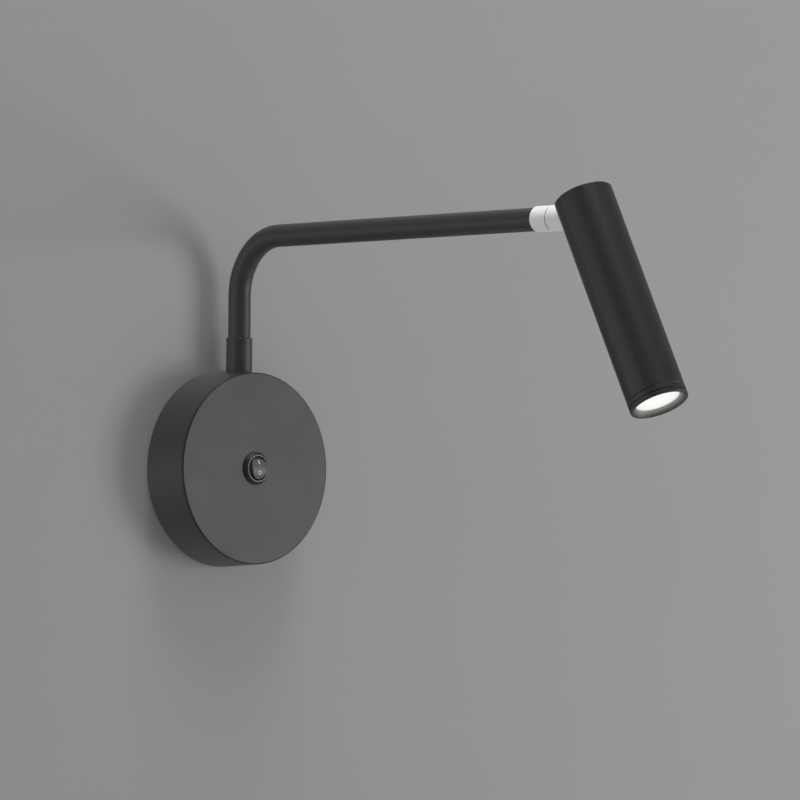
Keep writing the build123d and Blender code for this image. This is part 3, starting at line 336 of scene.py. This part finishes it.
def rocker_plastic():
    """Black rocker with a finely textured grey face, and sides that are darker as painted shade."""
    finish = Finish("rocker_plastic")
    grain = finish.noise(scale=3600, detail=2)
    cloud = finish.noise(scale=90, detail=2)
    face = finish.past(finish.radius(CROWN), ROCKER_FACE_R - FACE_MARGIN, FACE_FADE)
    lit = finish.colour(cloud, (0.082, 0.082, 0.083), (0.096, 0.096, 0.097))
    # Painted shade: the rocker's sides take a far darker copy of its plastic than its face
    base = finish.colour(face, (0.008, 0.008, 0.0085), lit)
    rough = face.between(0.36, 0.46) + grain.between(0, 0.06)
    relief = finish.bump(grain, depth=0.04, strength=0.5)
    return finish.surface(Base_Color=base, Roughness=rough, Normal=relief)


def lit_lens():
    """Clear lens lit from behind: warm white, brightest in the middle, with fine moulded rings."""
    finish = Finish("lit_lens")
    settings = {"wave_type": "RINGS", "rings_direction": "Z"}
    inputs = {"Vector": finish.turned(HEAD), "Scale": RINGS_SCALE, "Distortion": 0.0}
    rings = finish.amount("ShaderNodeTexWave", settings, inputs)
    edge = finish.past(finish.radius(HEAD), LENS_MIDDLE_R, LENS_EDGE_FADE)
    glow = finish.colour(edge, LENS_MIDDLE, LENS_EDGE)
    glow = finish.colour(rings * RINGS_SHARE, glow, LENS_RINGS)
    return finish.surface(Base_Color=LENS_CLEAR, Roughness=0.2, Emission_Color=glow,
                          Emission_Strength=1.0)


# Finishes by material slot, with colour and roughness, and then those of single nodes
finishes = {
    "black_paint": powder_coat("black_powder_coat", MATT),
    "satin_metal": turned_metal("satin_nickel", (0.95, 0.95, 0.94), 0.94, ARM, pitch=0.18),
    "zinc_steel": plated_metal("bright_zinc", (0.66, 0.68, 0.70), 0.34),
    "brass": plated_metal("bare_brass", (0.80, 0.60, 0.28), 0.30),
    "black_plastic": switch_plastic(),
    "white_plastic": moulded("white_plastic", (0.78, 0.78, 0.75), 0.45),
    "nylon": moulded("black_nylon", (0.05, 0.05, 0.052), 0.55),
    "circuit_board": moulded("green_board", (0.03, 0.20, 0.09), 0.35),
    "ferrite": moulded("ferrite", (0.07, 0.07, 0.075), 0.6, scale=1500, depth=0.05),
    "capacitor": moulded("capacitor_sleeve", (0.03, 0.045, 0.12), 0.25),
    "aluminium": plated_metal("machined_aluminium", (0.80, 0.81, 0.82), 0.33),
    "soft_pad": moulded("soft_pad", (0.20, 0.20, 0.21), 0.8),
    "clear_lens": lit_lens(),
    "phosphor": moulded("phosphor", (0.85, 0.70, 0.22), 0.4),
    "wire_brown": moulded("brown_insulation", (0.16, 0.06, 0.025), 0.42),
    "wire_blue": moulded("blue_insulation", (0.03, 0.09, 0.36), 0.42),
    "wire_green": moulded("green_insulation", (0.10, 0.34, 0.06), 0.42),
    "lead_black": moulded("black_sheath", (0.02, 0.02, 0.021), 0.5),
}
head_coat = powder_coat("satin_black_head", SATIN)
finish_of = {node: finishes[slot] for node, slot in slot_of.items()}
finish_of["canopy"] = canopy_coat_with_painted_shade()
finish_of["rocker"] = rocker_plastic()
finish_of["head_shell"] = head_coat
finish_of["head_cap"] = head_coat
finish_of["bezel"] = bezel_coat_with_painted_glow()
for node, item in nodes.items():
    item.data.materials.clear()
    item.data.materials.append(finish_of[node])


def placed(name, shape, material):
    """A finished shape as an object at the origin."""
    mesh = bpy.data.meshes.new(name)
    shape.to_mesh(mesh)
    shape.free()
    mesh.materials.append(material)
    item = bpy.data.objects.new(name, mesh)
    scene.collection.objects.link(item)
    return item


def piece(name, shape, body, slot, material, *replaced):
    """A finished shape as a piece that rides on a body, in place of the nodes it replaces."""
    item = placed(name, shape, material)
    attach(item, body)
    if replaced:
        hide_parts(*replaced)
    return item


# Dressing of the outer nodes: lengths in millimetres
WELD = 0.002
FLAT = radians(0.6)
SHARP = radians(32)
FINE_EDGE, FINE_SEGMENTS = 0.12, 2
HEAD_EDGE, HEAD_SEGMENTS = 0.3, 3


def dressed(node, width, segments):
    """A CAD node with merged faces, smooth curves and softly broken edges."""
    shape = bmesh.new()
    shape.from_mesh(nodes[node].data)
    bmesh.ops.remove_doubles(shape, verts=shape.verts, dist=WELD * MM)
    bmesh.ops.dissolve_limit(shape, angle_limit=FLAT, verts=shape.verts, edges=shape.edges)
    for face in shape.faces:
        face.smooth = True
    for rim in shape.edges:
        rim.smooth = len(rim.link_faces) == 2 and rim.calc_face_angle(0) < SHARP
    item = piece(node + "_finish", shape, body_of[node], slot_of[node], finish_of[node], node)
    soft = item.modifiers.new("broken_edges", "BEVEL")
    soft.width = width * MM
    soft.segments = segments
    soft.limit_method = "ANGLE"
    soft.angle_limit = SHARP
    soft.use_clamp_overlap = True
    weighted = item.modifiers.new("flat_faces", "WEIGHTED_NORMAL")
    weighted.keep_sharp = True


for node in ("canopy", "collar", "arm_tube", "ferrule", "knuckle", "head_cap", "lens",
             "switch_body", "rocker"):
    dressed(node, FINE_EDGE, FINE_SEGMENTS)
for node in ("head_shell", "bezel"):
    dressed(node, HEAD_EDGE, HEAD_SEGMENTS)

# Printed marks of the rocker, in millimetres: rise above its face, distance from its middle, the
# size of the bar and of the ring, and the hole's share of the ring
MARK_RISE = 0.03
MARK_SPOT = 2.9
BAR_WIDTH, BAR_LENGTH = 0.75, 2.5
RING_R, RING_HOLE = 1.15, 0.6
white_print = moulded("white_print", (0.62, 0.62, 0.61), 0.5)


def rocker_mark(name, shape):
    """A printed mark, laid on the rocker's rounded face."""
    bmesh.ops.recalc_face_normals(shape, faces=shape.faces)
    base = ROCKER_TOP - ROCKER_FACE_R + MARK_RISE
    for corner in shape.verts:
        corner.co.z = base + (ROCKER_FACE_R ** 2 - corner.co.y ** 2) ** 0.5
    bmesh.ops.solidify(shape, geom=shape.faces[:], thickness=2 * MARK_RISE)
    bmesh.ops.recalc_face_normals(shape, faces=shape.faces)
    bmesh.ops.transform(shape, matrix=ROCKER @ Matrix.Scale(MM, 4), verts=shape.verts)
    piece(name, shape, "rocker", "white_plastic", white_print)


on_bar = bmesh.new()
bmesh.ops.create_grid(on_bar, x_segments=2, y_segments=6, size=0.5)
bmesh.ops.scale(on_bar, vec=(BAR_WIDTH, BAR_LENGTH, 1), verts=on_bar.verts)
bmesh.ops.translate(on_bar, vec=(0, MARK_SPOT, 0), verts=on_bar.verts)
rocker_mark("rocker_mark_on", on_bar)

off_ring = bmesh.new()
bmesh.ops.create_circle(off_ring, segments=40, radius=RING_R)
grown = bmesh.ops.extrude_edge_only(off_ring, edges=off_ring.edges[:])["geom"]
inner = [part for part in grown if isinstance(part, bmesh.types.BMVert)]
bmesh.ops.scale(off_ring, vec=(RING_HOLE, RING_HOLE, 1), verts=inner)
bmesh.ops.translate(off_ring, vec=(0, -MARK_SPOT, 0), verts=off_ring.verts)
rocker_mark("rocker_mark_off", off_ring)


def stage_plane(name, matrix, width, height, material):
    shape = bmesh.new()
    bmesh.ops.create_grid(shape, x_segments=1, y_segments=1, size=0.5)
    spread = Matrix.Diagonal((width, height, 1, 1))
    bmesh.ops.transform(shape, matrix=matrix @ spread, verts=shape.verts)
    item = placed(name, shape, material)


def wall_paint():
    """Grey wall that only a camera in the room sees; reflections and light pass through it."""
    finish = Finish("wall_paint")
    base = finish.colour(finish.noise(scale=3, detail=3), grey(0.355), grey(0.385))
    skin = finish.node("ShaderNodeBsdfDiffuse", {}, {"Color": base}).outputs[0]
    clear = finish.node("ShaderNodeBsdfTransparent").outputs[0]
    seen = finish.amount("ShaderNodeLightPath", output="Is Camera Ray")
    front = 1 - finish.amount("ShaderNodeNewGeometry", output="Backfacing")
    mixed = finish.node("ShaderNodeMixShader", {}, {0: seen * front, 1: clear, 2: skin})
    finish.tree.links.new(mixed.outputs[0], finish.output.inputs["Surface"])
    return finish.material


def floor_paint():
    finish = Finish("floor_paint")
    base = finish.colour(finish.noise(scale=4, detail=3), grey(0.60), grey(0.66))
    return finish.surface(Base_Color=base, Roughness=0.8)


# The studio: wall just behind the canopy, floor below, four softboxes and an even world
WALL_SPOT = Matrix.Translation((0, 0.6 * MM, 1.6)) @ OUT
FLOOR_SPOT = Matrix.Translation((0, -1.2, -0.9))
WORLD_COLOUR = (*grey(0.62), 1)
WORLD_STRENGTH = 0.52
stage_plane("wall", WALL_SPOT, width=14, height=5, material=wall_paint())
stage_plane("floor", FLOOR_SPOT, width=16, height=16, material=floor_paint())


def softbox(name, spot, aim, size, power, spread=180):
    lamp = bpy.data.lights.new(name, "AREA")
    lamp.shape = "RECTANGLE"
    lamp.size, lamp.size_y = size
    lamp.energy = power
    lamp.spread = radians(spread)
    item = bpy.data.objects.new(name, lamp)
    item.location = spot
    item.rotation_euler = (Vector(aim) - Vector(spot)).to_track_quat("-Z", "Y").to_euler()
    scene.collection.objects.link(item)


softbox("softbox_above", spot=(0.1, -0.2, 1.45), aim=(0, -0.15, 0.1), size=(1.4, 0.5), power=18.5)
softbox("softbox_right", spot=(1.38, -1.47, -0.15), aim=(0, 0, 0), size=(0.9, 0.8), power=15.5)
softbox("softbox_left", spot=(-1.4, 0.0, 0.15), aim=(0, -0.15, 0.05), size=(0.5, 1.0), power=2.1)
softbox("softbox_wall_side", spot=(-1.25, 0.75, -0.2), aim=(0, -0.2, 0.08), size=(0.6, 0.9),
        power=0.42, spread=70)

world = bpy.data.worlds.new("studio")
scene.world = world
world.use_nodes = True
backdrop = world.node_tree.nodes["Background"].inputs
backdrop["Color"].default_value = WORLD_COLOUR
backdrop["Strength"].default_value = WORLD_STRENGTH

# The photo's camera: place, and the directions of its right, up and back
EYE = (-1.79756, -2.05660, -0.04907)
EYE_RIGHT = (0.72943, -0.68406, 0.00630)
EYE_UP = (-0.02629, -0.01883, 0.99948)
EYE_BACK = (-0.68357, -0.72920, -0.03172)
camera = bpy.data.cameras.new("photo_view")
camera.lens = 229.0
camera.sensor_width = 36
camera.clip_end = 30
viewer = bpy.data.objects.new("photo_view", camera)
eye_turn = Matrix((EYE_RIGHT, EYE_UP, EYE_BACK)).transposed().to_4x4()
viewer.matrix_world = Matrix.Translation(EYE) @ eye_turn
scene.collection.objects.link(viewer)
scene.camera = viewer
scene.view_settings.view_transform = "Standard"
